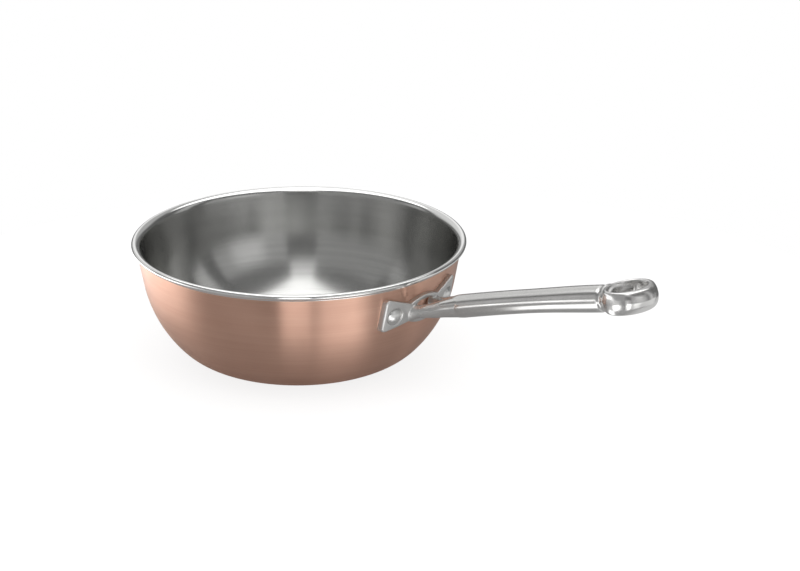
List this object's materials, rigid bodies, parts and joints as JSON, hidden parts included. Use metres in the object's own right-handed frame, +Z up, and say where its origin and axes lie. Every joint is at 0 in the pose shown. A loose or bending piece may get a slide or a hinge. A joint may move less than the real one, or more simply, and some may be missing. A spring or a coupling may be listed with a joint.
{
  "type": "saucier pan",
  "caption": "Round-sided clad copper saucier pan with a rolled steel rim and a riveted fork handle that ends in a hanging eye.",
  "frame": {"origin": "centre of the flat underside of the base", "axes": "+Z up, out of the open mouth; +X along the handle, from the bowl to the hanging eye; the handle's middle plane is y = 0"},
  "size_m": [0.3662, 0.206, 0.104],
  "materials": {
    "copper": "satin brushed copper, fine level brush lines",
    "core": "plain, hidden between the skins",
    "liner_steel": "satin inside, polished rim",
    "bracket_steel": "satin cast steel",
    "grip_steel": "satin, brushed along its length",
    "ring_steel": "polished steel",
    "rivet_steel": "bright satin"
  },
  "bodies": {
    "root": {"copper_shell": "copper", "aluminium_core": "core", "steel_liner": "liner_steel", "handle_bracket": "bracket_steel", "handle_grip": "grip_steel", "hanging_ring": "ring_steel", "rivet_left": "rivet_steel", "rivet_right": "rivet_steel"}
  },
  "joints": []
}
